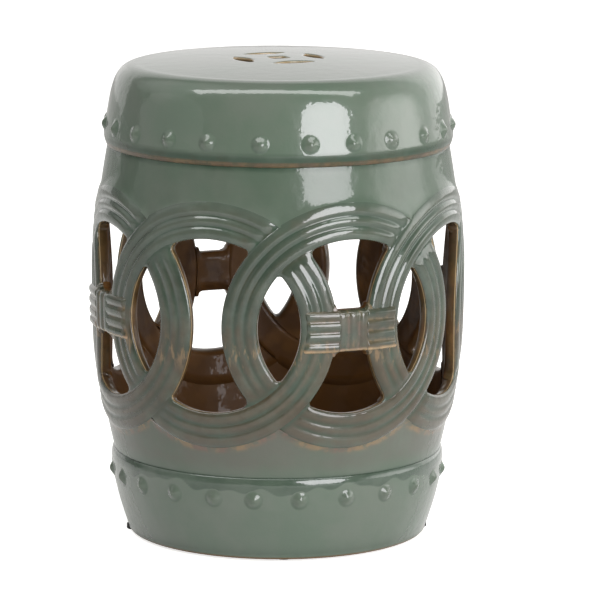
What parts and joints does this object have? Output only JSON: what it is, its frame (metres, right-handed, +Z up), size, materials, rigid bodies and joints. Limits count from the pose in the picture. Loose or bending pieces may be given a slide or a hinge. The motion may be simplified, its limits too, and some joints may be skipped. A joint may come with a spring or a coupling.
{
  "type": "ceramic garden stool",
  "caption": "Glazed ceramic garden stool: a drum seat with a pierced coin motif on an open barrel of interlaced ridged rings, tied in pairs, on a studded foot with rubber pads.",
  "frame": {"origin": "middle of the footprint, on the floor", "axes": "+Z up; the front, -Y, faces the middle of a tied ring"},
  "size_m": [0.3486, 0.3486, 0.438],
  "materials": {
    "celadon_glaze": "gloss",
    "rubber": "matte"
  },
  "bodies": {
    "root": {"seat_cap": "celadon_glaze", "upper_collar": "celadon_glaze", "ring_1": "celadon_glaze", "ring_2": "celadon_glaze", "ring_3": "celadon_glaze", "ring_4": "celadon_glaze", "ring_5": "celadon_glaze", "ring_6": "celadon_glaze", "ring_7": "celadon_glaze", "ring_8": "celadon_glaze", "tie_front": "celadon_glaze", "tie_right": "celadon_glaze", "tie_back": "celadon_glaze", "tie_left": "celadon_glaze", "lower_collar": "celadon_glaze", "foot_ring": "celadon_glaze", "upper_studs": "celadon_glaze", "lower_studs": "celadon_glaze", "foot_pads": "rubber"}
  },
  "joints": []
}
